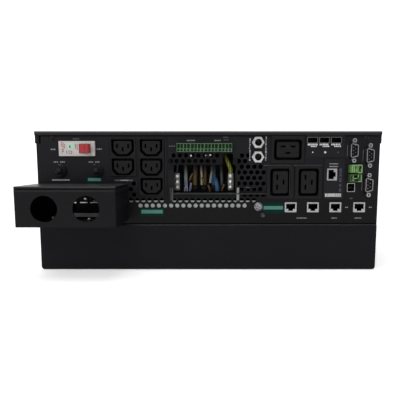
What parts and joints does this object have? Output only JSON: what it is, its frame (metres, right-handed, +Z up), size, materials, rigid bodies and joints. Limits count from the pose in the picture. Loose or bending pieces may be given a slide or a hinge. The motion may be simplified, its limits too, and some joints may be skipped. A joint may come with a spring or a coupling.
{
  "type": "rack uninterruptible power supply",
  "caption": "Rack uninterruptible power supply in a black steel case, its rear panel full of power outlets, data sockets, vents and an open wiring bay, with a cable box at one side.",
  "frame": {"origin": "centre of the case's underside, where it rests", "axes": "+Z up, +Y from the rear panel to the front bezel, +X to the right seen from the rear"},
  "size_m": [0.4826, 0.7496, 0.176],
  "materials": {
    "black_paint": "satin powder coat",
    "cover_paint": "satin powder coat",
    "zinc": "galvanised",
    "nickel": "plated, satin",
    "black_screw": "black oxide",
    "black_plastic": "matte",
    "button_plastic": "glossy",
    "white_plastic": "matte",
    "red_plastic": "glossy",
    "green_plastic": "matte",
    "brass": "satin",
    "blue_wire": "satin",
    "brown_wire": "satin",
    "grey_wire": "satin",
    "earth_wire": "satin",
    "board": "solder mask",
    "aluminium": "extruded",
    "capacitor_sleeve": "glossy sleeve",
    "copper_coil": "enamelled copper",
    "battery_case": "matte",
    "clear_window": "clear"
  },
  "bodies": {
    "case": {"battery_door": "black_paint", "battery_packs": "battery_case", "bezel": "black_plastic", "black_screws": "black_screw", "cable_box": "black_paint", "cable_box_lid": "cover_paint", "capacitors": "capacitor_sleeve", "card_ports": "nickel", "chassis_tray": "black_paint", "chokes": "copper_coil", "control_board": "board", "control_card": "black_paint", "cover_brackets": "zinc", "display_housing": "black_plastic", "display_window": "clear_window", "fan_frames": "black_plastic", "front_plate": "black_paint", "heat_sinks": "aluminium", "input_breaker": "white_plastic", "large_outlets": "black_plastic", "lower_rear_cover": "black_paint", "network_card": "black_paint", "network_ports": "nickel", "outlet_contacts": "brass", "outlet_strip_three": "black_plastic", "outlet_strip_two": "black_plastic", "partition_shelf": "zinc", "plated_screws": "zinc", "port_inserts": "black_plastic", "power_board": "board", "rack_ear_left": "black_paint", "rack_ear_right": "black_paint", "rear_panel_left": "black_paint", "rear_panel_middle": "black_paint", "rear_panel_right": "black_paint", "relay_plugs": "green_plastic", "reset_breakers": "black_plastic", "sensor_sockets": "nickel", "serial_ports": "nickel", "signal_header": "green_plastic", "signal_plug_1": "green_plastic", "signal_plug_2": "green_plastic", "signal_plug_3": "green_plastic", "signal_plug_4": "green_plastic", "terminal_block": "black_plastic", "terminal_clamps": "zinc", "terminal_shelf": "black_paint", "top_cover": "cover_paint", "usb_sockets": "nickel", "wires_blue": "blue_wire", "wires_brown": "brown_wire", "wires_earth": "earth_wire", "wires_grey": "grey_wire"},
    "toggle": {"breaker_toggle": "red_plastic"},
    "reset_left": {"reset_button_left": "button_plastic"},
    "reset_right": {"reset_button_right": "button_plastic"},
    "rotor_left": {"fan_rotor_left": "black_plastic"},
    "rotor_right": {"fan_rotor_right": "black_plastic"},
    "button_left": {"front_button_left": "button_plastic"},
    "button_right": {"front_button_right": "button_plastic"}
  },
  "joints": [
    {"name": "toggle_swing", "type": "hinge", "parent": "case", "child": "toggle", "pos_m": [-0.1535, -0.327, 0.1545], "axis": [0, 0, 1], "range_deg": [-44, 0]},
    {"name": "reset_left_slide", "type": "slide", "parent": "case", "child": "reset_left", "axis": [0, -1, 0], "range_m": [0, 0.005]},
    {"name": "reset_right_slide", "type": "slide", "parent": "case", "child": "reset_right", "axis": [0, -1, 0], "range_m": [0, 0.005]},
    {"name": "rotor_left_spin", "type": "hinge", "parent": "case", "child": "rotor_left", "pos_m": [-0.11, 0.259, 0.1072], "axis": [0, 1, 0], "continuous": true},
    {"name": "rotor_right_spin", "type": "hinge", "parent": "case", "child": "rotor_right", "pos_m": [0.11, 0.259, 0.1072], "axis": [0, 1, 0], "continuous": true},
    {"name": "button_left_press", "type": "slide", "parent": "case", "child": "button_left", "axis": [0, -1, 0], "range_m": [0, 0.0015], "stiffness_N_per_m": 150},
    {"name": "button_right_press", "type": "slide", "parent": "case", "child": "button_right", "axis": [0, -1, 0], "range_m": [0, 0.0015], "stiffness_N_per_m": 150}
  ]
}
